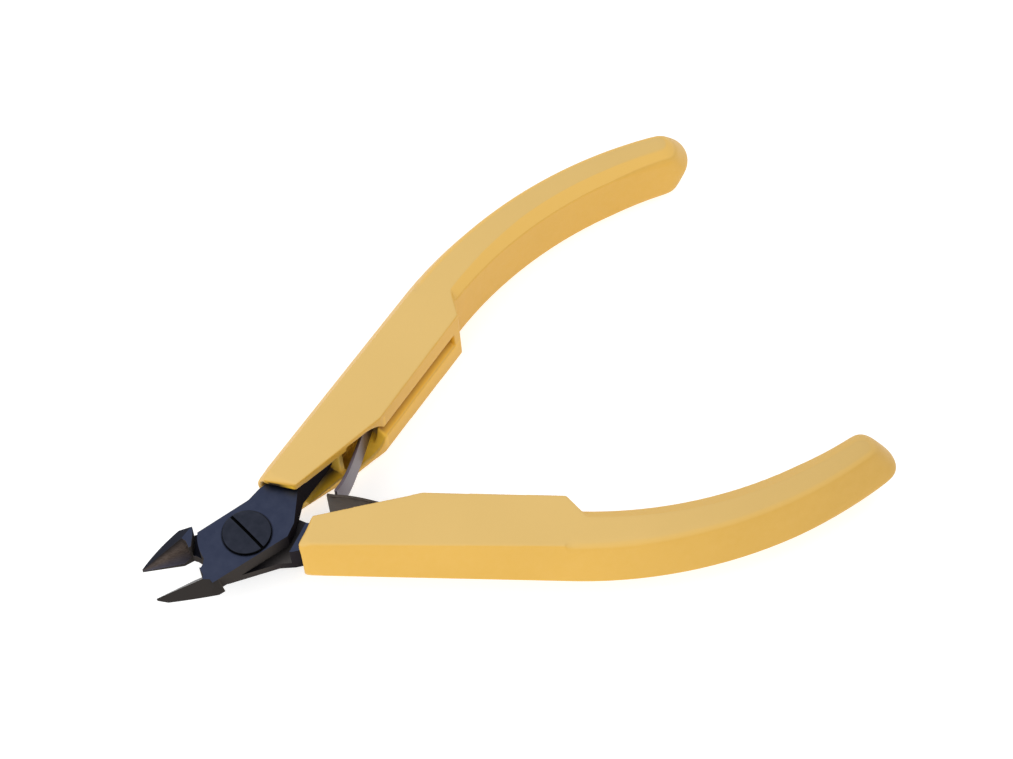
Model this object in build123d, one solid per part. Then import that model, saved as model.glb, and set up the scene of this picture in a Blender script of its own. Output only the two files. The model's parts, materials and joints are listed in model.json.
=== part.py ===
from build123d import *
import os
from math import cos, hypot, radians, sin, sqrt

os.makedirs("parts", exist_ok=True)

# Precision diagonal cutting pliers with a lapped screw joint, moulded handles and
# two leaf springs.  Millimetres.  Every piece is first drawn about the pivot with
# z = 0 on the middle plane, then moved so that the tool lies on its back at z = 0.
#   half frame   : jaws closed, cutting edges along -X, this half's handle towards +Y
#   handle frame : u runs from the pivot towards the tail, v points to the outside

# ---------------------------------------------------------------- driving sizes
JAW_OPENING = 18.2          # angle between the cutting edges at rest
HALF_OPENING = JAW_OPENING / 2
HANDLE_ANGLE = 21.4         # handle axis from the centre line with the jaws closed
REST_ANGLE = HANDLE_ANGLE + HALF_OPENING

HEAD_HALF = 2.75            # half the thickness of the steel head
LAP_GAP = 0.02              # each lapped face stays this far from the middle plane
CLOSE_GAP = 0.02            # each cutting face stays this far from the centre line

PLATE_RADIUS = 7.2          # round front end of each lapped plate
SHOULDER_X = -7.2           # back face of each jaw at its outer edge
HEEL_X = -8.2               # back face of each jaw at the cutting edge
PLATE_OUT = 4.5             # flat edge of the plate on its handle side
PLATE_RIDGE = 4.8           # the same edge at the middle plane
PLATE_DRAW = 0.45           # the back plate's flat edge lies this much further in
PLATE_IN = 3.75             # upright edge of the plate on its jaw side

JAW_TIP = 15.8              # pivot to the tips of the jaws
JAW_TIP_Z = 0.95            # height of the tips above the middle plane
JAW_WIDE = 5.05             # widest half width of the closed jaws
THROAT = 0.65               # the cutting edges part by this at the heel
FLUSH_DROP = 0.4            # the flush back face starts this far below the tips
FLUSH_SLOPE = 0.29          # rise of the flush back face per millimetre of length
EDGE_LAND = 0.6             # height of the land behind the cutting edge at the heel

SCREW_HEAD_R = 3.6
SCREW_HEAD_H = 0.6
SCREW_SHANK_R = 2.0
SCREW_RUN_CLEAR = 0.05      # radial clearance in the half that turns
SCREW_FIXED_CLEAR = 0.02    # radial clearance in the half that holds it
SCREW_SLOT_W = 0.45
SCREW_SLOT_DEPTH = 0.42
SCREW_SLOT_ANGLE = 105.5

OUTER_C = (46.0, -62.95)    # centre of the curved back of the handle
OUTER_R = 67.5
INNER_C = (47.0, -66.1)     # centre of the curved inner wall
INNER_R = 61.6
INNER_CHAMFER = 1.9         # width of the chamfer along the inner wall
TAIL_ANGLE = 43.6           # where the round tail starts on the outer curve
TAIL_BLUNT = 0.74           # length of the round tail as a share of its half width
TAIL_RECEDE = 0.31          # degrees the tail draws in per millimetre of height
GRIP_HALF = 5.6             # half the thickness of the slim rear part
GRIP_WALL_TOP = 4.4         # height where the inner chamfer starts
GRIP_SLOPE = 0.54           # the back of the grip slants in by this per millimetre
GRIP_FRONT_HALF = 4.5       # half thickness the flat would have at the pivot
GRIP_FLARE = 0.017          # growth of the half thickness towards the tail
RIDGE_FRONT = (8.3, 5.05)   # front corner of the ridge
RIDGE_REAR = (46.0, 4.55)   # where the ridge starts to curve
FRONT_LEAN = 0.2            # the front end leans forward by this per millimetre
FRONT_INNER = (9.3, -2.2)
DEEP_START = (25.0, -6.5)
DEEP_END = (45.7, -6.55)
LEDGE_LOW = 47.9            # where the ledge meets the inner wall
LEDGE_HIGH = 49.3           # where it meets the flat

ARM_OUT = 2.45              # outer flat edge of the steel arm in the grip mouth
ARM_RIDGE = 3.25            # the same edge at the middle plane
ARM_IN = -1.85              # inner flat edge of the arm
ARM_IN_RIDGE = -2.65        # the same edge at the middle plane
ARM_END = 17.4              # the arm keeps its full thickness up to here
TANG_HALF = 2.1             # half thickness of the tang inside the grip
MOUTH_END = 11.0
MOUTH_CLEAR = 0.2
TANG_CLEAR = 0.03
MOUTH_HALF = 3.2            # half height of the mouth around the steel arm
CHANNEL_HALF = 3.05         # half height of the open channel behind the mouth
CHANNEL_END = 17.7
POCKET_HALF = 3.8           # half height of the pocket that the leaf spring leaves by
POCKET_INNER_HALF = 2.9     # half height of the room around its foot
POCKET_START = 18.7
POCKET_NARROW = 22.5        # where the window starts to close in
POCKET_END = 25.8
WEB_FACE = -3.7             # inner face of the web between channel and pocket
SLOT_HALF = 1.5             # half height of the slot where it leaves the wall
SLOT_FLOOR_HALF = 0.4       # half height at its floor
SLOT_START = 25.0
SLOT_END = 44.3
SLOT_FLOOR = -4.4

LEAF_T = 0.45
LEAF_HALF_W = 2.45
LEAF_PIVOT = (32.0, -2.6)   # where the leaf is riveted, and bends from
LEAF_FOOT_END = 34.2
LEAF_PATH = [(30.0, -2.6), (27.0, -3.2), (23.1, -4.45), (18.2, -5.95), (13.45, -6.8)]
LEAF_TIP_LONG = (10.83, -7.0)
LEAF_TIP_SHORT = (12.48, -6.83)
RIVET_R = 0.7
RIVET_HEAD_R = 1.3
RIVET_HEAD_H = 0.6
RIVET_PLAY = 0.3            # play of the leaf foot under the rivet head

REST_HEIGHT = GRIP_HALF     # lifts the middle plane so that the grips rest at z = 0
REST_SHIFT = -36.64         # puts the origin under the middle of the open tool


# ---------------------------------------------------------------- small helpers
def rotated(point, angle):
    """A point turned about the pivot by an angle in degrees."""
    c = cos(radians(angle))
    s = sin(radians(angle))
    return (point[0] * c - point[1] * s, point[0] * s + point[1] * c)


def from_handle(point):
    """Handle frame to half frame."""
    return rotated(point, HANDLE_ANGLE)


def prism(points, z_low, z_high):
    """Upright block with a polygonal plan."""
    face = make_face(Polyline(points, close=True))
    return Pos(0, 0, z_low) * extrude(face, z_high - z_low)


def level_wire(curves, z):
    """Closed outline lifted to a height."""
    edges = [edge for curve in curves for edge in curve.edges()]
    return Pos(0, 0, z) * Wire(edges)


def cutting_block(origin, normal, size=60.0):
    """Large block whose flat face passes through origin, on the normal's side."""
    plane = Plane(origin=origin, z_dir=normal)
    return plane * Pos(0, 0, size / 2) * Box(size, size, size)


def plane_normal(a, b, c):
    """Unit normal of three points, turned to point upwards."""
    ab = Vector(*b) - Vector(*a)
    ac = Vector(*c) - Vector(*a)
    normal = ab.cross(ac).normalized()
    if normal.Z < 0:
        normal = normal * -1
    return normal


def flip(part):
    """Turns a piece over about the long axis of the tool."""
    return Rot(180, 0, 0) * part


# ---------------------------------------------------------------- steel halves
def plate_outline(out, ridge_shift, arm_in):
    """Plan of a lapped plate with its arm as far as the grip mouth."""
    mouth_out = from_handle((8.0, ARM_OUT + ridge_shift))
    inside_out = from_handle((14.0, ARM_OUT + ridge_shift))
    end_out = from_handle((ARM_END, 1.2))
    end_in = from_handle((ARM_END, arm_in))
    mouth_in = from_handle((10.3, arm_in))
    corner = (-sqrt(PLATE_RADIUS ** 2 - out ** 2), out)
    low = (-sqrt(PLATE_RADIUS ** 2 - 0.35 ** 2), 0.35)
    bulge = (-PLATE_RADIUS * cos(radians(18)), PLATE_RADIUS * sin(radians(18)))
    return [
        ThreePointArc(corner, bulge, low),
        Polyline(
            low,
            (-7.75, -0.3),
            (HEEL_X - 0.15, -THROAT),
            (HEEL_X - 0.15, -PLATE_IN),
            (4.4, -PLATE_IN - 0.2),
            (6.35, -2.7),
            mouth_in,
            end_in,
            end_out,
            inside_out,
            mouth_out,
            (5.4, out + 0.6),
            (3.2, out),
            corner,
        ),
    ]


def lap_plate(draw):
    """Front plate of the joint, slanted along its outer edge."""
    low = level_wire(plate_outline(PLATE_RIDGE, PLATE_RIDGE - PLATE_OUT, ARM_IN_RIDGE), LAP_GAP)
    high = level_wire(plate_outline(PLATE_OUT - draw, -draw, ARM_IN), HEAD_HALF)
    return Solid.make_loft([low, high], ruled=True)


def arm_outline(ridge_shift, arm_in):
    """Plan of the full-thickness arm behind the rear shoulder."""
    return [
        (4.95, PLATE_OUT + 0.45 + ridge_shift),
        (6.8, 3.0),
        (8.5, 1.1),
        from_handle((10.3, arm_in)),
        from_handle((ARM_END, arm_in)),
        from_handle((ARM_END, 1.2)),
        from_handle((14.0, ARM_OUT + ridge_shift)),
        from_handle((8.0, ARM_OUT + ridge_shift)),
        (5.4, PLATE_OUT + 0.6 + ridge_shift),
    ]


def arm_block():
    """Rear half of the arm, below the middle plane."""
    ridge = PLATE_RIDGE - PLATE_OUT
    top = level_wire([Polyline(arm_outline(ridge, ARM_IN_RIDGE), close=True)], LAP_GAP)
    bottom = level_wire([Polyline(arm_outline(0.0, ARM_IN), close=True)], -HEAD_HALF)
    return Solid.make_loft([bottom, top], ruled=True)


def tang_outline(grow):
    """Plan of the tang in the handle frame, grown all round by a clearance."""
    return [
        (12.0, -1.9 - grow),
        (30.0, -2.05 - grow),
        (45.0, -1.9 - grow),
        (62.0 + grow, -3.2 - grow),
        (62.0 + grow, -0.9 + grow),
        (45.0, 1.5 + grow),
        (20.0, 2.3 + grow),
        (12.0, 2.3 + grow),
    ]


def tang():
    """Tang that carries the moulded grip."""
    return prism([from_handle(p) for p in tang_outline(0.0)], -TANG_HALF, TANG_HALF)


def jaw():
    """One cutting jaw on the +Y side of the centre line."""
    outline = [
        Polyline(
            (SHOULDER_X, JAW_WIDE),
            (SHOULDER_X - 0.15, 2.9),
            (HEEL_X, THROAT),
            (-9.8, CLOSE_GAP),
            (-JAW_TIP, CLOSE_GAP),
            (-JAW_TIP, 0.25),
        ),
        ThreePointArc((-JAW_TIP, 0.25), (-12.3, 2.95), (SHOULDER_X, JAW_WIDE)),
    ]
    body = Pos(0, 0, -HEAD_HALF) * extrude(make_face(level_wire(outline, 0)), 2 * HEAD_HALF)

    # slanted face from the crest down to the outer edge
    tip = (-JAW_TIP, 0.25, JAW_TIP_Z)
    crest = (-9.2, 2.35, HEAD_HALF)
    flank = (-12.4, 2.95, 0.9)
    body -= cutting_block(crest, plane_normal(tip, crest, flank))
    heel_top = (-7.5, 3.62, HEAD_HALF)
    body -= cutting_block(heel_top, (0, 1.85, 1.18))

    # slanted face from the outer edge towards the back
    body -= cutting_block((SHOULDER_X, JAW_WIDE, 0.9), (0.0, 0.86, -0.51))
    body -= cutting_block(flank, (-0.38, 0.74, -0.55))
    return body


def bevel_cutter():
    """Removes the ground valley in front of the cutting edge."""
    tip = (-JAW_TIP, 0.1, JAW_TIP_Z)
    crest = (-9.2, 2.35, HEAD_HALF)
    heel = (-9.2, 0.0, flush_height(-9.2) + EDGE_LAND)
    normal = plane_normal(tip, crest, heel)
    valley = prism([(-20, -0.5), (-8.4, -0.5), (-8.7, 1.75), (-9.2, 2.4), (-9.2, 6), (-20, 6)],
                   -HEAD_HALF - 1, HEAD_HALF + 1)
    return valley & cutting_block(crest, normal)


def flush_height(x):
    """Height of the flush back face at a station along the jaws."""
    return JAW_TIP_Z - FLUSH_DROP - FLUSH_SLOPE * (x + JAW_TIP)


def flush_cutter():
    """Block below the slanted back face shared by both jaws."""
    return cutting_block((-JAW_TIP, 0, flush_height(-JAW_TIP)), (-FLUSH_SLOPE, 0, -1))


def handle_part_of_half(draw):
    """Lapped plate, arm and tang of the half whose handle lies towards +Y."""
    x, y = from_handle((LEAF_PIVOT[0], -1.0))
    drill = Rot(0, 0, HANDLE_ANGLE) * Rot(90, 0, 0) * Cylinder(RIVET_R + 0.02, 4.2)
    return lap_plate(draw) + arm_block() + tang() - Pos(x, y, 0) * drill


def ground_jaw():
    """Jaw on the +Y side with its valley and its flush back face."""
    return jaw() - bevel_cutter()


def steel_half(front, screw_clearance):
    """The front half, or the back half turned over; the two jaws mirror each other."""
    if front:
        half = handle_part_of_half(0.0) + mirror(ground_jaw(), about=Plane.XZ)
    else:
        half = flip(handle_part_of_half(PLATE_DRAW)) + ground_jaw()
    half -= flush_cutter()
    return half - Cylinder(SCREW_SHANK_R + screw_clearance, 4 * HEAD_HALF)


def pivot_screw():
    """Slotted screw: head on the front plate, shank flush with the back."""
    seat = HEAD_HALF + LAP_GAP
    head = Pos(0, 0, seat + SCREW_HEAD_H / 2) * Cylinder(SCREW_HEAD_R, SCREW_HEAD_H)
    top_edge = head.edges().group_by(Axis.Z)[-1]
    head = chamfer(top_edge, 0.12)
    length = seat + HEAD_HALF
    shank = Pos(0, 0, (seat - HEAD_HALF) / 2) * Cylinder(SCREW_SHANK_R, length)
    slot = Rot(0, 0, SCREW_SLOT_ANGLE) * Box(3 * SCREW_HEAD_R, SCREW_SLOT_W, 2 * SCREW_SLOT_DEPTH)
    return head + shank - Pos(0, 0, seat + SCREW_HEAD_H) * slot


# ---------------------------------------------------------------- moulded grips
def on_circle(centre, radius, angle):
    """Point on a circle; the angle is counted from +v towards +u."""
    return (centre[0] + radius * sin(radians(angle)), centre[1] + radius * cos(radians(angle)))


def tail_circle(outer_r, inner_r, angle):
    """Centre and radius of the round tail that touches both long curves."""
    dx = OUTER_C[0] - INNER_C[0]
    dy = OUTER_C[1] - INNER_C[1]
    along = dx * sin(radians(angle)) + dy * cos(radians(angle))
    total = outer_r + inner_r
    reach = (total ** 2 - dx ** 2 - dy ** 2) / (2 * (along + total))
    return on_circle(OUTER_C, reach, angle), outer_r - reach


def grip_outline(z):
    """Outline of the grip at a height above the middle plane."""
    lean = GRIP_SLOPE * z
    outer_r = OUTER_R - lean
    above = max(0.0, z - GRIP_WALL_TOP) / (GRIP_HALF - GRIP_WALL_TOP)
    inner_r = INNER_R + INNER_CHAMFER * above
    ledge_u = LEDGE_LOW + (LEDGE_HIGH - LEDGE_LOW) * above
    ledge = (ledge_u, INNER_C[1] + sqrt(inner_r ** 2 - (ledge_u - INNER_C[0]) ** 2))
    angle = TAIL_ANGLE - TAIL_RECEDE * z
    centre, radius = tail_circle(outer_r, inner_r, angle)
    outer_end = on_circle(OUTER_C, outer_r, angle)
    tail_far = on_circle(centre, radius * TAIL_BLUNT, angle + 90)
    across = radius * cos(radians(50))
    along = radius * TAIL_BLUNT * sin(radians(50))
    tail_outer = on_circle(on_circle(centre, across, angle), along, angle + 90)
    tail_inner = on_circle(on_circle(centre, -across, angle), along, angle + 90)
    reach = hypot(centre[0] - INNER_C[0], centre[1] - INNER_C[1])
    inner_end = (
        INNER_C[0] + (centre[0] - INNER_C[0]) * inner_r / reach,
        INNER_C[1] + (centre[1] - INNER_C[1]) * inner_r / reach,
    )
    inner_tangent = (inner_end[1] - INNER_C[1], INNER_C[0] - inner_end[0])
    inner_mid_angle = 20.0
    front = (RIDGE_FRONT[0] - FRONT_LEAN * z, RIDGE_FRONT[1] - lean)
    rear = (RIDGE_REAR[0], RIDGE_REAR[1] - lean)
    return [
        Line(FRONT_INNER, front),
        Line(front, rear),
        ThreePointArc(rear, on_circle(OUTER_C, outer_r, angle / 2), outer_end),
        TangentArc(outer_end, tail_outer, tangent=on_circle((0, 0), 1, angle + 90)),
        ThreePointArc(tail_outer, tail_far, tail_inner),
        TangentArc(inner_end, tail_inner, tangent=inner_tangent),
        ThreePointArc(inner_end, on_circle(INNER_C, inner_r, inner_mid_angle), ledge),
        Line(ledge, DEEP_END),
        Line(DEEP_END, DEEP_START),
        Line(DEEP_START, FRONT_INNER),
    ]


def grip_body():
    """Solid grip before its cavities are cut."""
    low = level_wire(grip_outline(0.0), 0.0)
    middle = level_wire(grip_outline(GRIP_WALL_TOP), GRIP_WALL_TOP)
    high = level_wire(grip_outline(GRIP_HALF), GRIP_HALF)
    upper = Solid.make_loft([low, middle], ruled=True) + Solid.make_loft([middle, high], ruled=True)
    upper -= cutting_block((0, 0, GRIP_FRONT_HALF), (-GRIP_FLARE, 0, 1), 200.0)
    back_lip = prism([(7, -0.24), (19.0, -4.9), (19.0, -8), (7, -8)], -GRIP_HALF, -MOUTH_HALF + 0.1)
    return upper + mirror(upper, about=Plane.XY) - back_lip


def grip_cavities():
    """Mouth, channel, pocket, slot and the core that the tang fills."""
    mouth_v = ARM_RIDGE + MOUTH_CLEAR
    mouth = prism([(5, -6), (MOUTH_END, -6), (MOUTH_END, mouth_v), (5, mouth_v)],
                  -MOUTH_HALF, MOUTH_HALF)
    mouth -= cutting_block((8, ARM_OUT + MOUTH_CLEAR + 0.25, HEAD_HALF), (0, 0.95, 0.31))
    mouth -= cutting_block((8, ARM_OUT + MOUTH_CLEAR + 0.25, -HEAD_HALF), (0, 0.95, -0.31))
    arm_room = prism([(10, -2.8), (CHANNEL_END, -2.8), (CHANNEL_END, 1.5), (14.3, 2.7),
                      (10, 2.7)], -HEAD_HALF - 0.05, HEAD_HALF + 0.05)
    arm_ridge = prism([(10, 0), (14.3, 0), (14.3, 3.25), (10, 3.25)], -1.4, 1.4)
    channel = prism([(10, -8), (CHANNEL_END, -8), (CHANNEL_END, -1.95), (10, -1.95)],
                    -CHANNEL_HALF, CHANNEL_HALF)
    core = prism(tang_outline(TANG_CLEAR), -TANG_HALF - TANG_CLEAR, TANG_HALF + TANG_CLEAR)
    web_gap = prism([(CHANNEL_END - 0.1, -9), (POCKET_START + 0.1, -9),
                     (POCKET_START + 0.1, WEB_FACE), (CHANNEL_END - 0.1, WEB_FACE)],
                    -CHANNEL_HALF, CHANNEL_HALF)
    window = [
        Polyline((POCKET_NARROW, -POCKET_HALF), (POCKET_START, -POCKET_HALF),
                 (POCKET_START, POCKET_HALF), (POCKET_NARROW, POCKET_HALF)),
        ThreePointArc((POCKET_NARROW, POCKET_HALF), (POCKET_END, 0),
                      (POCKET_NARROW, -POCKET_HALF)),
    ]
    pocket = Pos(0, -1.9, 0) * Rot(90, 0, 0) * extrude(make_face(level_wire(window, 0)), 7.1)
    foot_room = prism([(24.0, -4.9), (25.6, -4.9), (27.6, -4.1), (36.4, -4.1), (36.4, -1.9),
                       (24.0, -1.9)], -POCKET_INNER_HALF, POCKET_INNER_HALF)
    return mouth + arm_room + arm_ridge + channel + core + web_gap + pocket + foot_room + slot()


def slot():
    """Long slot in the inner wall, with drafted sides."""
    outside = DEEP_START[1] - 2.0
    draft = (SLOT_HALF - SLOT_FLOOR_HALF) / (SLOT_FLOOR - DEEP_START[1])
    outside_half = SLOT_HALF + 2.0 * draft
    section = Plane.YZ * Polyline(
        (outside, -outside_half),
        (outside, outside_half),
        (SLOT_FLOOR, SLOT_FLOOR_HALF),
        (SLOT_FLOOR, -SLOT_FLOOR_HALF),
        close=True,
    )
    length = SLOT_END - SLOT_START
    return Pos(SLOT_START, 0, 0) * extrude(make_face(section), length, dir=(1, 0, 0))


def grip():
    """Moulded grip in the handle frame."""
    return grip_body() - grip_cavities()


# ---------------------------------------------------------------- leaf springs
def leaf(tip):
    """Leaf spring in the handle frame, from its riveted foot to its free tip."""
    foot = Line((LEAF_FOOT_END, LEAF_PIVOT[1]), LEAF_PATH[0])
    bow = Spline(LEAF_PATH + [tip], tangents=[(-1, -0.05), (-1, -0.15)])
    middle = foot + bow
    strip = trace(middle, LEAF_T)
    blade = Pos(0, 0, -LEAF_HALF_W) * extrude(strip, 2 * LEAF_HALF_W)
    hole = Pos(LEAF_PIVOT[0], LEAF_PIVOT[1], 0) * Rot(90, 0, 0) * Cylinder(RIVET_R + 0.25, 3)
    return blade - hole


def rivet():
    """Rivet that holds the foot of a leaf spring on the tang."""
    under_head = LEAF_PIVOT[1] - LEAF_T / 2 - RIVET_PLAY
    inside = 0.9
    shank_v = (under_head + inside) / 2
    shank = Pos(LEAF_PIVOT[0], shank_v, 0) * Rot(90, 0, 0) * Cylinder(RIVET_R, inside - under_head)
    head_v = under_head - RIVET_HEAD_H / 2
    head = Pos(LEAF_PIVOT[0], head_v, 0) * Rot(90, 0, 0) * Cylinder(RIVET_HEAD_R, RIVET_HEAD_H)
    return shank + head


# ---------------------------------------------------------------- placing
def settle(part):
    """From the pivot frame to the frame of the finished part."""
    return Pos(REST_SHIFT, 0, REST_HEIGHT) * part


def front_half_pose(part):
    """Half frame to rest for the half that crosses in front."""
    return Rot(0, 0, HALF_OPENING) * part


def back_half_pose(part):
    """Half frame to rest for the half that crosses behind."""
    return Rot(0, 0, -HALF_OPENING) * part


def upper_handle_pose(part):
    """Handle frame to rest on the +Y side."""
    return Rot(0, 0, REST_ANGLE) * part


def lower_handle_pose(part):
    """Handle frame to rest on the -Y side, as a mirror image."""
    return mirror(upper_handle_pose(part), about=Plane.XZ)


PIECES = {
    "half_front": front_half_pose(steel_half(True, SCREW_RUN_CLEAR)),
    "half_back": back_half_pose(steel_half(False, SCREW_FIXED_CLEAR)),
    "pivot_screw": pivot_screw(),
    "grip_upper": upper_handle_pose(grip()),
    "grip_lower": lower_handle_pose(grip()),
    "leaf_spring_upper": upper_handle_pose(leaf(LEAF_TIP_SHORT)),
    "leaf_spring_lower": lower_handle_pose(leaf(LEAF_TIP_LONG)),
    "spring_rivet_upper": upper_handle_pose(rivet()),
    "spring_rivet_lower": lower_handle_pose(rivet()),
}

for name, piece in PIECES.items():
    solid = settle(piece)
    print(name, len(solid.solids()), round(solid.volume, 2), solid.bounding_box())
    export_step(solid, f"parts/{name}.step")
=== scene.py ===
import json
import math

import bmesh
import bpy
import numpy as np
from mathutils import Matrix, Vector


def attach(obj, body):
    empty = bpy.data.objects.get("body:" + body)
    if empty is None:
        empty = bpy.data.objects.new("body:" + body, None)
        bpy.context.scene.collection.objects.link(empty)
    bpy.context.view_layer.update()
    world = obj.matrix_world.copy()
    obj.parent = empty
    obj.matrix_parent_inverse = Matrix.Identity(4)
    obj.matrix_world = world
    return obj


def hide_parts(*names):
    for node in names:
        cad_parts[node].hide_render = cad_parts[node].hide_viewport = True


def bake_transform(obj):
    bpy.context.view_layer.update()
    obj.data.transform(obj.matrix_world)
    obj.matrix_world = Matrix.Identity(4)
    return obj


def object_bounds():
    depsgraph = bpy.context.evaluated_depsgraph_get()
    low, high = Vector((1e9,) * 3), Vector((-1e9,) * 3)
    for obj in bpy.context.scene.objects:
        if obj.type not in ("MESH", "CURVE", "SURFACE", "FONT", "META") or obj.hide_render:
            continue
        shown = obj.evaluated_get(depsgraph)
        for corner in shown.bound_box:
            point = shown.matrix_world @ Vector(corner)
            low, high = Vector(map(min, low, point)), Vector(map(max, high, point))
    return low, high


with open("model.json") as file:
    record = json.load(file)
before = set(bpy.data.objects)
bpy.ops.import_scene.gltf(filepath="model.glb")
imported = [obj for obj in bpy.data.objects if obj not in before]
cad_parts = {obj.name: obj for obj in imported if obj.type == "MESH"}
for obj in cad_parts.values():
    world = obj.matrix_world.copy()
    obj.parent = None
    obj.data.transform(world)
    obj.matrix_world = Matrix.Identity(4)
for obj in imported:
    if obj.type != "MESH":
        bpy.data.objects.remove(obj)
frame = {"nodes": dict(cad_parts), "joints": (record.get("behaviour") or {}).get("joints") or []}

# Precision diagonal cutters.  Sizes are in millimetres and turned into metres by MM.
MM = 0.001
CAD_LOW, CAD_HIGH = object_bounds()
JOINTS = {j["name"]: j for j in frame["joints"]}
PIVOT = Vector(JOINTS["pivot"]["pos_m"])
HALF_OPENING = -JOINTS["pivot"]["range_deg"][0] / 2
HANDLE_ANGLE = 21.4          # handle axis from the centre line with the jaws closed
REST_ANGLE = HANDLE_ANGLE + HALF_OPENING

# Places in the handle frame: u runs to the tail, v outwards, w up.
BACK_CENTRE = (46.0, -62.95)  # centre of the curved back of a grip
RIVET_U = 32.0                # rivet at the foot of a leaf
MOUTH_WALL_START = 0.35       # inner wall at the mouth: v = start + slope * u
MOUTH_WALL_SLOPE = -0.274

GRIP_VOXEL = 0.14
GRIP_SHARE = 0.4              # share of the facets kept on a grip
FINE_ROUNDS = 6               # smoothing over the whole grip
EDGE_ROUNDS = 160             # smoothing of its worn edges

SCREW_R = 3.6
SHANK_R = 2.0
HEAD_TOP = 3.37               # crown of the screw head above the middle plane
HEAD_DISH = 0.2               # how far the crown falls to the rim
SLOT_WIDTH = 0.45
SLOT_DEPTH = 0.42
SLOT_ANGLE = 105.5

RIVET_R = 0.7
RIVET_HEAD_R = 1.3
RIVET_SEAT = 3.125            # underside of the head, along the rivet
RIVET_RIM = 0.175             # straight rim of the head, below its dome
RIVET_DOME = 0.42

# Widths of the broken edges.
FORGING_EDGE = 0.07
STRIP_EDGE = 0.08
SCREW_EDGE = 0.04

# Stage: focal length over frame width sets the lens, and the floor is in metres.
FOCAL_PIXELS = 2992.0
FRAME_PIXELS = 1013.0
FLOOR_HALF_WIDTH = 3.0

SCENE = bpy.context.scene


# ---------------------------------------------------------------- places
def pivot_point(x, y, z):
    """Point given about the pivot, on the middle plane, in metres."""
    return PIVOT + Vector((x, y, z)) * MM


def handle_matrix(side):
    """Handle frame (u to the tail, v outwards, w up) to the row frame, still in millimetres."""
    turn = Matrix.Rotation(math.radians(REST_ANGLE), 4, "Z")
    mirror = Matrix.Diagonal((1, side, 1, 1))
    return Matrix.Translation(PIVOT) @ Matrix.Scale(MM, 4) @ mirror @ turn


# ---------------------------------------------------------------- mesh helpers
def link(name, mesh):
    obj = bpy.data.objects.new(name, mesh)
    SCENE.collection.objects.link(obj)
    return obj


def applied(obj):
    """Bakes the modifiers of a piece into its mesh."""
    graph = bpy.context.evaluated_depsgraph_get()
    mesh = bpy.data.meshes.new_from_object(obj.evaluated_get(graph))
    old = obj.data
    obj.modifiers.clear()
    obj.data = mesh
    bpy.data.meshes.remove(old)
    return obj


def cad_copy(node, name):
    """Watertight copy of a CAD node's mesh with its split edges welded."""
    mesh = frame["nodes"][node].data.copy()
    mesh.name = name
    obj = link(name, mesh)
    obj.data.materials.clear()
    bm = bmesh.new()
    bm.from_mesh(mesh)
    bmesh.ops.remove_doubles(bm, verts=bm.verts, dist=0.0005 * MM)
    bmesh.ops.dissolve_degenerate(bm, edges=bm.edges, dist=0.0005 * MM)
    bm.to_mesh(mesh)
    bm.free()
    return obj


def smooth_shaded(obj, angle):
    """Smooth shading that keeps edges sharper than the angle."""
    obj.data.polygons.foreach_set("use_smooth", [True] * len(obj.data.polygons))
    obj.data.set_sharp_from_angle(angle=math.radians(angle))
    return obj


def box_cut(obj, size, matrix):
    """Cuts one box, of a size in millimetres, out of a piece."""
    bm = bmesh.new()
    bmesh.ops.create_cube(bm, size=1.0)
    bmesh.ops.scale(bm, vec=size, verts=bm.verts)
    mesh = bpy.data.meshes.new("cutter")
    bm.to_mesh(mesh)
    bm.free()
    cutter = link("cutter", mesh)
    cutter.data.transform(matrix)
    mod = obj.modifiers.new("cut", "BOOLEAN")
    mod.operation = "DIFFERENCE"
    mod.solver = "EXACT"
    mod.object = cutter
    applied(obj)
    bpy.data.objects.remove(cutter)
    bpy.data.meshes.remove(mesh)
    return obj


def lathed(name, profile, matrix, segments=96):
    """Solid of revolution about z from an (r, z) profile that starts and ends on the axis."""
    bm = bmesh.new()
    rings = []
    for radius, z in profile:
        if radius == 0:
            rings.append([bm.verts.new((0, 0, z))])
            continue
        angles = [2 * math.pi * i / segments for i in range(segments)]
        rings.append([bm.verts.new((radius * math.cos(a), radius * math.sin(a), z)) for a in angles])
    for lower, upper in zip(rings, rings[1:]):
        for i in range(segments):
            j = (i + 1) % segments
            corners = [lower[i % len(lower)], lower[j % len(lower)],
                       upper[j % len(upper)], upper[i % len(upper)]]
            bm.faces.new(list(dict.fromkeys(corners)))
    bm.transform(matrix)
    bmesh.ops.recalc_face_normals(bm, faces=bm.faces)
    mesh = bpy.data.meshes.new(name)
    bm.to_mesh(mesh)
    bm.free()
    return link(name, mesh)


def flat_shaded_flats(obj):
    """Keeps large flats flat where they meet a small rounded edge."""
    smooth_shaded(obj, 40.0)
    mod = obj.modifiers.new("normals", "WEIGHTED_NORMAL")
    mod.mode = "FACE_AREA"
    mod.weight = 100
    mod.keep_sharp = True
    return applied(obj)


def bevelled(obj, width, angle=22.0):
    """Breaks the sharp edges of a steel piece by a small rounded bevel."""
    bm = bmesh.new()
    bm.from_mesh(obj.data)
    bmesh.ops.dissolve_limit(bm, angle_limit=math.radians(0.6), verts=bm.verts, edges=bm.edges)
    bm.to_mesh(obj.data)
    bm.free()
    mod = obj.modifiers.new("edge", "BEVEL")
    mod.width = width * MM
    mod.segments = 2
    mod.limit_method = "ANGLE"
    mod.angle_limit = math.radians(angle)
    mod.harden_normals = False
    mod.use_clamp_overlap = True
    applied(obj)
    return flat_shaded_flats(obj)


def remeshed(obj, voxel):
    """Even mesh of small cells, ready to be softened."""
    mod = obj.modifiers.new("remesh", "REMESH")
    mod.mode = "VOXEL"
    mod.voxel_size = voxel * MM
    mod.use_smooth_shade = True
    return applied(obj)


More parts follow.
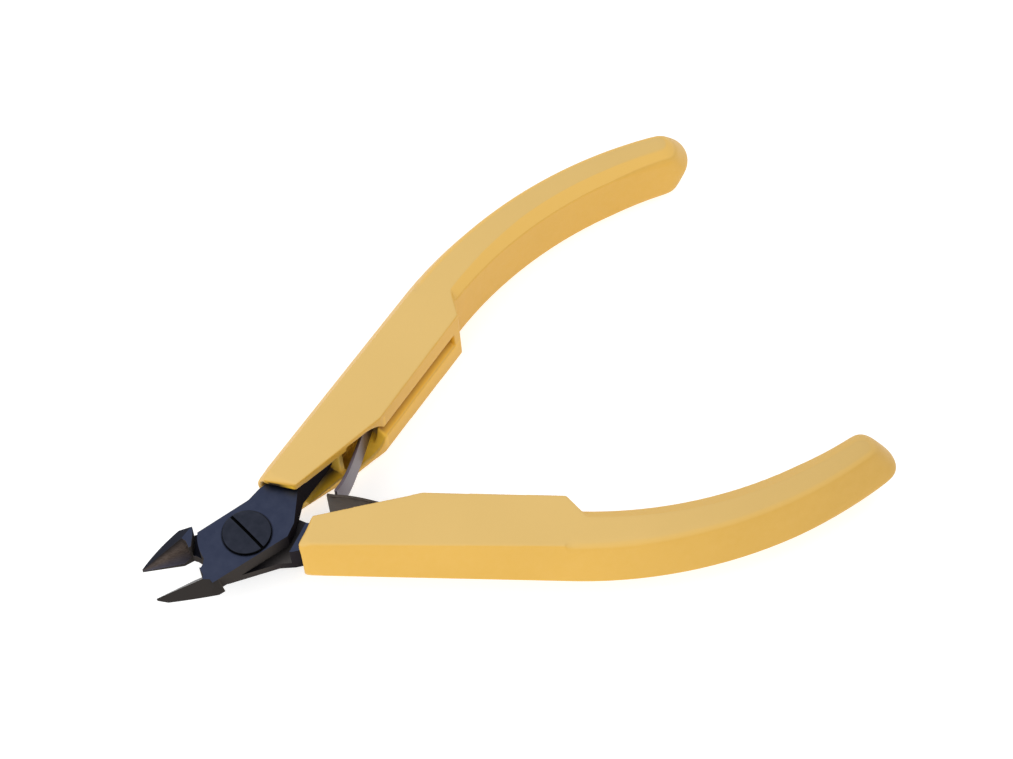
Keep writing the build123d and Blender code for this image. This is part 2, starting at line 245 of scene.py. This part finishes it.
def coordinates(mesh):
    """Vertex coordinates of a mesh as an array."""
    flat = np.empty(len(mesh.vertices) * 3, np.float32)
    mesh.vertices.foreach_get("co", flat)
    return flat.reshape(-1, 3).astype(np.float64)


def softened(obj, rounds, weight):
    """Relaxes each vertex towards its neighbours, by a weight from 0 to 1 per vertex."""
    mesh = obj.data
    points = coordinates(mesh)
    edges = np.empty(len(mesh.edges) * 2, np.int32)
    mesh.edges.foreach_get("vertices", edges)
    first, second = edges.reshape(-1, 2).T
    count = len(points)
    degree = np.bincount(first, minlength=count) + np.bincount(second, minlength=count)
    share = 0.5 * weight / np.maximum(degree, 1)
    for _ in range(rounds):
        moved = np.empty_like(points)
        for axis in range(3):
            column = points[:, axis]
            total = np.bincount(first, column[second], count)
            total += np.bincount(second, column[first], count)
            moved[:, axis] = column + share * (total - degree * column)
        points = moved
    mesh.vertices.foreach_set("co", points.astype(np.float32).ravel())
    mesh.update()
    return obj


def thinned(obj, ratio):
    """Fewer, larger facets on the flats."""
    mod = obj.modifiers.new("thin", "DECIMATE")
    mod.ratio = ratio
    return applied(obj)


def ramp(values, low, high):
    """Smooth step from 0 at low to 1 at high."""
    t = np.clip((values - low) / (high - low), 0, 1)
    return t * t * (3 - 2 * t)


# ---------------------------------------------------------------- material helpers
class Nodes:
    """Small helper that writes one material's nodes."""

    def __init__(self, name):
        self.mat = bpy.data.materials.new(name)
        self.mat.use_nodes = True
        self.tree = self.mat.node_tree
        self.shader = self.tree.nodes["Principled BSDF"]
        coord = self.add("ShaderNodeTexCoord")
        self.point = self.scaled(coord.outputs["Object"], (1000, 1000, 1000))
        self.normal = coord.outputs["Normal"]

    def add(self, kind, **values):
        node = self.tree.nodes.new(kind)
        for key, value in values.items():
            setattr(node, key, value)
        return node

    def link(self, a, b):
        self.tree.links.new(a, b)

    def scaled(self, vector, scale):
        """Coordinates stretched by a factor for each axis."""
        node = self.add("ShaderNodeMapping")
        node.inputs["Scale"].default_value = scale
        self.link(vector, node.inputs["Vector"])
        return node.outputs["Vector"]

    def shifted(self, vector):
        """Coordinates counted from the pivot."""
        node = self.add("ShaderNodeMapping")
        node.inputs["Location"].default_value = [-value / MM for value in PIVOT]
        self.link(vector, node.inputs["Vector"])
        return node.outputs["Vector"]

    def radius(self, vector):
        """Distance from the axis of the pivot."""
        node = self.add("ShaderNodeVectorMath", operation="LENGTH")
        self.link(self.scaled(vector, (1, 1, 0)), node.inputs[0])
        return node.outputs["Value"]

    def turned(self, vector, degrees):
        """Coordinates turned about z."""
        node = self.add("ShaderNodeMapping")
        node.inputs["Rotation"].default_value = (0, 0, math.radians(degrees))
        self.link(vector, node.inputs["Vector"])
        return node.outputs["Vector"]

    def noise(self, vector, scale, detail=3.0, rough=0.5):
        node = self.add("ShaderNodeTexNoise")
        node.inputs["Scale"].default_value = scale
        node.inputs["Detail"].default_value = detail
        node.inputs["Roughness"].default_value = rough
        self.link(vector, node.inputs["Vector"])
        return node.outputs["Fac"]

    def ranged(self, value, low, high, to_low=0.0, to_high=1.0):
        """Straight ramp from to_low at low to to_high at high."""
        node = self.add("ShaderNodeMapRange")
        node.inputs["From Min"].default_value = low
        node.inputs["From Max"].default_value = high
        node.inputs["To Min"].default_value = to_low
        node.inputs["To Max"].default_value = to_high
        self.link(value, node.inputs["Value"])
        return node.outputs["Result"]

    def above(self, value, low, high):
        """Mask that rises from 0 at low to 1 at high."""
        return self.ranged(value, low, high)

    def below(self, value, low, high):
        """Mask that falls from 1 at low to 0 at high."""
        return self.ranged(value, low, high, 1.0, 0.0)

    def math(self, operation, a, b=None):
        node = self.add("ShaderNodeMath", operation=operation)
        for socket, value in zip(node.inputs, (a, b)):
            if value is None:
                continue
            if isinstance(value, (int, float)):
                socket.default_value = value
            else:
                self.link(value, socket)
        return node.outputs["Value"]

    def product(self, first, *others):
        """Mask of the places where all the given masks hold."""
        for other in others:
            first = self.math("MULTIPLY", first, other)
        return first

    def mix(self, factor, a, b):
        node = self.add("ShaderNodeMix", data_type="RGBA")
        sockets = [s for s in node.inputs if s.type == "RGBA"]
        fac = node.inputs["Factor"]
        if isinstance(factor, (int, float)):
            fac.default_value = factor
        else:
            self.link(factor, fac)
        for socket, value in zip(sockets, (a, b)):
            if isinstance(value, tuple):
                socket.default_value = (*value, 1.0)
            else:
                self.link(value, socket)
        return [s for s in node.outputs if s.type == "RGBA"][0]

    def part(self, vector, axis):
        """One of the X, Y and Z parts of a vector."""
        node = self.add("ShaderNodeSeparateXYZ")
        self.link(vector, node.inputs["Vector"])
        return node.outputs[axis]

    def bump(self, *layers):
        """Bump layers as (height, depth in millimetres), the coarsest first."""
        normal = None
        for height, depth in layers:
            node = self.add("ShaderNodeBump")
            node.inputs["Distance"].default_value = depth * MM
            self.link(height, node.inputs["Height"])
            if normal is not None:
                self.link(normal, node.inputs["Normal"])
            normal = node.outputs["Normal"]
        self.link(normal, self.shader.inputs["Normal"])

    def set(self, socket, value):
        target = self.shader.inputs[socket]
        if isinstance(value, (int, float)):
            target.default_value = value
        elif isinstance(value, tuple):
            target.default_value = (*value, 1.0)
        else:
            self.link(value, target)


def grip_faces(n, side, u, up):
    """Yellow with painted light by the way a face looks: a painted sheen on the flats, lighter slanted
    backs, painted shade on the inner walls, a painted highlight on the chamfer and painted shade towards
    the tail.
    """
    broad = n.above(n.noise(n.point, 0.07, 2.0), 0.3, 0.7)
    # painted light: flats, slanted backs and inner walls get lit and shaded copies of the yellow, the
    # flats bluer for a painted sheen and the walls darker for painted shade
    outer = n.mix(broad, (0.65, 0.375, 0.053), (0.68, 0.395, 0.060))
    top = n.mix(broad, (0.69, 0.455, 0.137), (0.71, 0.47, 0.144))
    wall = n.mix(broad, (0.66, 0.37, 0.037), (0.68, 0.383, 0.041))
    colour = n.mix(n.above(up, 0.2, 0.45), wall, outer)
    colour = n.mix(n.above(up, 0.60, 0.99), colour, top)
    # painted shade: the handle darkens towards the tail, more on the lower grip, where the light falls
    # off
    tail_painted_shade = n.ranged(u, 50.0, 90.0, 0.0, 0.05 if side > 0 else 0.20)
    colour = n.mix(tail_painted_shade, colour, (0.30, 0.17, 0.03))
    # painted highlight on the inner chamfer past the ledge, stronger on the upper grip
    chamfer = n.product(
        n.above(up, 0.64, 0.76),
        n.below(up, 0.92, 0.97),
        n.ranged(u, 47.0, 49.0, 0.0, 0.9 if side > 0 else 0.3),
    )
    return n.mix(chamfer, colour, (0.76, 0.46, 0.092))


def grip_cavities(n, colour, place, up):
    """Painted shade in the slot, in the mouth and behind the leaf, and painted light on the lip under
    the slot, the web and the open pocket.
    """
    u, v, w = place
    height = n.math("ABSOLUTE", w)
    in_slot = n.product(
        n.above(v, -6.45, -6.2),
        n.below(height, 1.55, 1.75),
        n.below(v, -3.0, -2.0),
        n.above(u, 25.2, 26.0),
        n.below(u, 44.3, 44.6),
    )
    wall = n.math("ADD", n.math("MULTIPLY", u, MOUTH_WALL_SLOPE), MOUTH_WALL_START)
    depth = n.math("SUBTRACT", v, wall)
    in_mouth = n.product(
        n.above(depth, 0.1, 0.5),
        n.below(height, 3.9, 4.1),
        n.below(u, 25.8, 26.2),
        n.below(v, 1.6, 2.0),
    )
    lip = n.product(
        n.above(w, -4.6, -1.5),
        n.below(w, -1.4, -1.2),
        n.ranged(v, -6.7, -6.45, 0.0, 0.7),
        n.above(u, 16.0, 20.0),
        n.below(u, 44.5, 46.5),
        n.below(up, 0.3, 0.6),
    )
    # painted shade deepening into the slot, with a bright yellow at its mouth
    slot = n.mix(n.above(v, -6.4, -5.2), (0.98, 0.57, 0.042), (0.34, 0.14, 0.003))
    # painted shade deepening into the mouth
    mouth = n.mix(n.above(depth, 0.5, 2.2), (0.92, 0.56, 0.03), (0.05, 0.03, 0.008))
    # painted shade behind the leaf, and a painted lift of the open pocket against its shade
    pocket = n.mix(n.above(u, 20.5, 23.5), (0.48, 0.27, 0.015), (0.98, 0.60, 0.048))
    # painted light on the web
    web = (0.98, 0.62, 0.08)
    pocket = n.mix(n.above(u, 18.8, 19.1), web, pocket)
    mouth = n.mix(n.above(u, 17.6, 17.7), mouth, pocket)
    # painted bounce light: a deeper yellow on the lip under the slot
    colour = n.mix(lip, colour, (0.84, 0.48, 0.026))
    colour = n.mix(in_slot, colour, slot)
    return n.mix(in_mouth, colour, mouth)


def grip_plastic(name, side):
    """Satin yellow moulding with a fine spark-eroded texture, with painted light and shade by face
    direction and painted shade in its cavities.
    """
    n = Nodes(name)
    handle = n.turned(n.scaled(n.shifted(n.point), (1, side, 1)), -REST_ANGLE)
    place = [n.part(handle, axis) for axis in "XYZ"]
    up = n.math("ABSOLUTE", n.part(n.normal, "Z"))
    mottled = n.noise(n.point, 0.8, 4.0, 0.6)
    grain = n.noise(n.point, 9.0, 2.0, 0.6)
    colour = grip_faces(n, side, place[0], up)
    colour = n.mix(n.ranged(mottled, 0.35, 0.75, 0.0, 0.10), colour, (0.76, 0.48, 0.14))
    n.set("Base Color", grip_cavities(n, colour, place, up))
    n.set("Roughness", n.ranged(grain, 0.2, 0.8, 0.42, 0.58))
    n.bump((mottled, 0.02), (grain, 0.012))
    return n.mat


def plate_colour(n, side, place, up, cloud, lines):
    """Blue-black flats and browner slants, with painted shade and a painted lift where the two halves
    lap, and a painted shade ring round the screw head.
    """
    x, y, z = place
    blue = n.mix(n.above(cloud, 0.3, 0.7), (0.037, 0.046, 0.083), (0.049, 0.059, 0.100))
    brown = n.mix(n.above(lines, 0.3, 0.7), (0.038, 0.031, 0.026), (0.062, 0.051, 0.042))
    brown = n.mix(n.above(x, -1.0, 6.0), brown, (0.010, 0.008, 0.008))
    # painted shade on the faces where the two halves lap, deepest towards the jaws, and painted light
    # lifting the open part of the lap on one half
    lap_painted_shade = (0.008, 0.008, 0.011)
    lap_painted_half_shade = (0.030, 0.027, 0.026)
    lapped = n.mix(n.above(x, -3.0, 3.0), lap_painted_shade, lap_painted_half_shade)
    lap_painted_light_mask = n.product(n.above(x, 0.0, 4.0), n.below(y, -3.5, -1.0))
    lapped = n.mix(lap_painted_light_mask, lapped, (0.085, 0.076, 0.070) if side > 0 else lap_painted_half_shade)
    blue = n.mix(n.ranged(z, 0.2, 1.2, 0.9, 0.0), blue, lapped)
    # painted shade: a dark ring on the plate round the screw head
    ring = n.radius(n.shifted(n.point))
    blue = n.mix(n.ranged(ring, 3.66, 3.86, 0.7, 0.0), blue, (0.006, 0.006, 0.008))
    return n.mix(n.above(up, 0.965, 0.995), brown, blue)


def valley_colour(n, side, x, across, cloud, lines):
    """Ground valley of a jaw painted as if hollow: a painted brown highlight towards the crest, a
    painted pale sheen by the cutting edge, painted shade along the crest, dark at the tip; the lower jaw
    gets a copy in painted shade.
    """
    shade = 1.0 if side > 0 else 0.3

    def shaded(*colour):
        return tuple(shade * value for value in colour)

    # painted highlight: brown, lighter in the ground streaks
    ground = n.mix(n.above(lines, 0.3, 0.7), shaded(0.10, 0.074, 0.060), shaded(0.21, 0.165, 0.14))
    # painted sheen: pale blue-grey by the cutting edge
    pale = n.mix(n.above(cloud, 0.3, 0.7), shaded(0.12, 0.112, 0.15), shaded(0.17, 0.16, 0.20))
    ground = n.mix(n.below(across, 0.1, 0.5), ground, pale)
    # painted shade along the crest
    ground = n.mix(n.above(across, 0.66, 0.98), ground, (0.026, 0.023, 0.024))
    return n.mix(n.ranged(x, -15.8, -12.5, 0.6, 0.0), ground, (0.035, 0.033, 0.040))


def burnished_steel(name, side):
    """Blackened steel with ground jaws; side is 1 for the half with the upper jaw.

    The side faces are darker and take no shine.
    """
    n = Nodes(name)
    centred = n.shifted(n.point)
    half = n.turned(centred, side * HALF_OPENING)
    x = n.part(half, "X")
    y = n.math("MULTIPLY", n.part(half, "Y"), side)
    z = n.part(centred, "Z")
    up = n.math("ABSOLUTE", n.part(n.normal, "Z"))
    cloud = n.noise(n.point, 0.5, 4.0, 0.6)
    lines = n.noise(n.scaled(n.turned(n.point, 12), (0.6, 9.0, 9.0)), 1.0, 3.0, 0.55)
    colour = plate_colour(n, side, (x, y, z), up, cloud, lines)

    arm = n.above(x, -7.2, -6.6) if side > 0 else n.above(x, 5.0, 6.5)
    upright = n.math("MAXIMUM", n.below(up, 0.10, 0.35), n.product(arm, n.below(up, 0.75, 0.90)))
    side_face = n.mix(n.above(x, 1.0, 5.0), (0.046, 0.040, 0.037), (0.021, 0.018, 0.021))
    colour = n.mix(upright, colour, side_face)

    # across is 0 at the cutting edge of a jaw and 1 on its crest
    jaw = n.below(x, -7.5, -7.3)
    across = n.math("DIVIDE", y, n.ranged(x, -15.8, -9.2, 0.15, 2.35))
    sloping = n.below(up, 0.97, 0.99)
    slanted = n.product(sloping, n.above(across, 0.97, 1.03), jaw)
    colour = n.mix(slanted, colour, (0.022, 0.024, 0.033) if side > 0 else (0.034, 0.030, 0.028))
    valley = n.product(n.below(across, 0.97, 1.03), jaw, n.above(up, 0.15, 0.4), sloping)
    colour = n.mix(valley, colour, valley_colour(n, side, x, across, cloud, lines))
    n.set("Base Color", colour)
    n.set("Metallic", n.below(n.math("MAXIMUM", upright, slanted), 0.0, 1.0))
    n.set("Specular IOR Level", 0.0)
    n.set("Roughness", n.ranged(lines, 0.25, 0.75, 0.34, 0.46))
    n.bump((cloud, 0.005), (lines, 0.005))
    return n.mat


def screw_steel():
    """Blackened screw with turning marks, with painted shade in the slot and round the rim."""
    n = Nodes("screw_steel")
    centred = n.shifted(n.point)
    cloud = n.noise(n.point, 0.9, 3.0)
    wave = n.add("ShaderNodeTexWave", wave_type="RINGS", rings_direction="Z")
    wave.inputs["Scale"].default_value = 2.2
    wave.inputs["Distortion"].default_value = 0.6
    n.link(centred, wave.inputs["Vector"])
    top = n.product(n.above(n.part(n.normal, "Z"), 0.75, 0.95), n.above(n.part(centred, "Z"), 3.02, 3.1))
    face = n.mix(n.above(cloud, 0.3, 0.7), (0.024, 0.028, 0.041), (0.033, 0.037, 0.054))
    # painted shade: every face but the top of the head, the slot and the side of the head among them, is
    # near black
    n.set("Base Color", n.mix(top, (0.003, 0.003, 0.003), face))
    n.set("Metallic", 1.0)
    n.set("Roughness", n.ranged(cloud, 0.3, 0.7, 0.30, 0.42))
    n.bump((wave.outputs["Fac"], 0.004))
    return n.mat


def spring_steel(name, dark, bright):
    """Rolled strip with lengthwise scratches."""
    n = Nodes(name)
    lines = n.noise(n.scaled(n.point, (0.7, 0.7, 14.0)), 1.0, 4.0, 0.6)
    cloud = n.noise(n.point, 0.6, 3.0)
    strip = n.mix(n.above(lines, 0.25, 0.75), dark, bright)
    n.set("Base Color", n.mix(n.ranged(cloud, 0.3, 0.8, 0.0, 0.5), strip, dark))
    n.set("Metallic", 1.0)
    n.set("Roughness", n.ranged(lines, 0.3, 0.7, 0.30, 0.44))
    n.bump((lines, 0.004))
    return n.mat


def floor_paint():
    """Plain pale surface, lit from behind as on a light table."""
    n = Nodes("floor_paint")
    grain = n.noise(n.point, 0.02, 3.0)
    n.set("Base Color", n.mix(n.above(grain, 0.3, 0.7), (0.56, 0.56, 0.56), (0.58, 0.58, 0.58)))
    n.set("Roughness", 0.9)
    n.set("Specular IOR Level", 0.1)
    n.set("Emission Color", (1.0, 1.0, 1.0))
    n.set("Emission Strength", 0.66)
    return n.mat


MATERIALS = {
    "grip_upper": grip_plastic("grip_plastic_upper", 1),
    "grip_lower": grip_plastic("grip_plastic_lower", -1),
    "steel_front": burnished_steel("burnished_steel_front", -1),
    "steel_back": burnished_steel("burnished_steel_back", 1),
    "screw_steel": screw_steel(),
    "leaf_upper": spring_steel("spring_steel_upper", (0.11, 0.09, 0.11), (0.17, 0.145, 0.165)),
    "leaf_lower": spring_steel("spring_steel_lower", (0.05, 0.04, 0.034), (0.12, 0.10, 0.085)),
    "rivet_steel": spring_steel("rivet_steel", (0.10, 0.09, 0.09), (0.15, 0.14, 0.14)),
}


def finish_piece(obj, material):
    """Gives a piece its material."""
    obj.data.materials.clear()
    obj.data.materials.append(MATERIALS[material])
    return obj


# ---------------------------------------------------------------- pieces
def edge_softness(u, v, w):
    """How strongly a grip's mesh is rounded: outer ridges, front corners and tail."""
    height = np.abs(w)
    off_middle = np.maximum(ramp(height, 1.4, 2.8), ramp(-u, -11.5, -9.5))
    straight = ramp(v, 2.2, 3.2) * off_middle
    radial = np.hypot(u - BACK_CENTRE[0], v - BACK_CENTRE[1])
    curved = ramp(radial, 61.0, 62.2) * off_middle
    outer = np.where(u < BACK_CENTRE[0], straight, np.maximum(curved, straight * (u < 48)))
    nose = ramp(-u, -9.6, -8.4) * ramp(height, 3.35, 3.9)
    tail = ramp(u, 78.0, 88.0)
    return np.clip(np.maximum.reduce([outer, nose, tail]), 0, 1)


def make_grip(node, body, side):
    """Moulding rebuilt from small cells, so that its worn edges can be rounded."""
    obj = remeshed(cad_copy(node, node + "_moulding"), GRIP_VOXEL)
    local = np.array(handle_matrix(side).inverted())
    places = coordinates(obj.data) @ local[:3, :3].T + local[:3, 3]
    softened(obj, FINE_ROUNDS, np.ones(len(places)))
    softened(obj, EDGE_ROUNDS, edge_softness(*places.T))
    thinned(obj, GRIP_SHARE)
    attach(obj, body)
    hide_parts(node)
    return finish_piece(obj, "grip_upper" if side > 0 else "grip_lower")


def make_half(node, body):
    """Steel half with its sharp edges broken."""
    obj = bevelled(cad_copy(node, node + "_forging"), FORGING_EDGE)
    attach(obj, body)
    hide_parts(node)
    return finish_piece(obj, "steel_front" if node == "half_front" else "steel_back")


def make_screw():
    """Slotted screw with a slightly domed head and a chamfered shank."""
    shank = [(0, -2.75), (1.85, -2.75), (SHANK_R, -2.6), (SHANK_R, 2.77), (3.55, 2.77)]
    edge = [(SCREW_R, 2.84), (SCREW_R, 3.04), (3.57, 3.12)]
    crown = [(SCREW_R * t, HEAD_TOP - HEAD_DISH * t * t) for t in (0.96, 0.9, 0.8, 0.65, 0.45, 0.2)]
    matrix = Matrix.Translation(PIVOT) @ Matrix.Scale(MM, 4)
    obj = lathed("slotted_screw", shank + edge + crown + [(0, HEAD_TOP)], matrix)
    turn = Matrix.Rotation(math.radians(SLOT_ANGLE), 4, "Z")
    slot = matrix @ Matrix.Translation((0, 0, HEAD_TOP)) @ turn
    box_cut(obj, (12.0, SLOT_WIDTH, 2 * SLOT_DEPTH), slot)
    bevelled(obj, SCREW_EDGE, 40.0)
    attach(obj, "back_half")
    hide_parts("pivot_screw")
    return finish_piece(obj, "screw_steel")


def make_leaf(node, side):
    """Leaf with its sharp edges broken, baked in place and attached to no body."""
    obj = bevelled(cad_copy(node, node + "_strip"), STRIP_EDGE)
    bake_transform(obj)
    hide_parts(node)
    return finish_piece(obj, "leaf_upper" if side > 0 else "leaf_lower")


def make_rivet(node, body, side):
    """Round shank across the tang and a domed head over the foot of the leaf."""
    shank = [(0, -0.9), (0.62, -0.9), (RIVET_R, -0.82), (RIVET_R, RIVET_SEAT)]
    rim = RIVET_SEAT + RIVET_RIM
    angles = (0, 0.3, 0.6, 0.9, 1.2)
    dome = [(RIVET_HEAD_R * math.cos(a), rim + RIVET_DOME * math.sin(a)) for a in angles]
    head = [(RIVET_HEAD_R, RIVET_SEAT)] + dome + [(0, rim + RIVET_DOME)]
    across = Matrix.Rotation(math.pi / 2, 4, "X")
    matrix = handle_matrix(side) @ Matrix.Translation((RIVET_U, 0, 0)) @ across
    obj = lathed(node + "_domed", shank + head, matrix, 48)
    smooth_shaded(obj, 40.0)
    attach(obj, body)
    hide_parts(node)
    return finish_piece(obj, "rivet_steel")


make_grip("grip_upper", "front_half", 1)
make_grip("grip_lower", "back_half", -1)
make_half("half_front", "front_half")
make_half("half_back", "back_half")
make_screw()
make_leaf("leaf_spring_upper", 1)
make_leaf("leaf_spring_lower", -1)
make_rivet("spring_rivet_upper", "front_half", 1)
make_rivet("spring_rivet_lower", "back_half", -1)


# ---------------------------------------------------------------- stage
def make_floor():
    """Floor just under the part."""
    bm = bmesh.new()
    bmesh.ops.create_grid(bm, x_segments=2, y_segments=2, size=FLOOR_HALF_WIDTH)
    mesh = bpy.data.meshes.new("floor")
    bm.to_mesh(mesh)
    bm.free()
    floor = link("floor", mesh)
    floor.location.z = CAD_LOW.z - 0.02 * MM
    floor.data.materials.append(floor_paint())


def area_light(name, place, target, size, power):
    """Round soft light at a place, aimed at a target."""
    data = bpy.data.lights.new(name, "AREA")
    data.shape = "DISK"
    data.size = size
    data.energy = power
    lamp = bpy.data.objects.new(name, data)
    SCENE.collection.objects.link(lamp)
    lamp.location = place
    lamp.rotation_mode = "QUATERNION"
    lamp.rotation_quaternion = (target - place).to_track_quat("-Z", "Y")


def make_lights():
    """White surroundings and one soft key light from the left."""
    world = bpy.data.worlds.new("studio")
    world.use_nodes = True
    surround = world.node_tree.nodes["Background"]
    surround.inputs["Color"].default_value = (1, 1, 1, 1)
    surround.inputs["Strength"].default_value = 0.95
    SCENE.world = world
    centre = (CAD_LOW + CAD_HIGH) / 2
    area_light("key", centre + Vector((-0.38, -0.10, 0.22)), centre, size=0.4, power=0.6)


def make_camera():
    """Stands above and to the front left, looking down at the open tool."""
    data = bpy.data.cameras.new("camera")
    data.sensor_fit = "HORIZONTAL"
    data.sensor_width = 36.0
    data.lens = FOCAL_PIXELS / FRAME_PIXELS * data.sensor_width
    data.clip_start = 0.01
    data.clip_end = 20.0
    camera = bpy.data.objects.new("camera", data)
    SCENE.collection.objects.link(camera)
    right = Vector((0.8918, -0.4495, -0.0509)).normalized()
    back = Vector((-0.2001, -0.4929, 0.8468)).normalized()
    up = back.cross(right).normalized()
    right = up.cross(back)
    rotation = Matrix((right, up, back)).transposed().to_4x4()
    camera.matrix_world = Matrix.Translation(pivot_point(-43.8, -212.2, 376.6)) @ rotation
    SCENE.camera = camera


make_floor()
make_lights()
make_camera()
SCENE.view_settings.view_transform = "Standard"
SCENE.view_settings.look = "None"
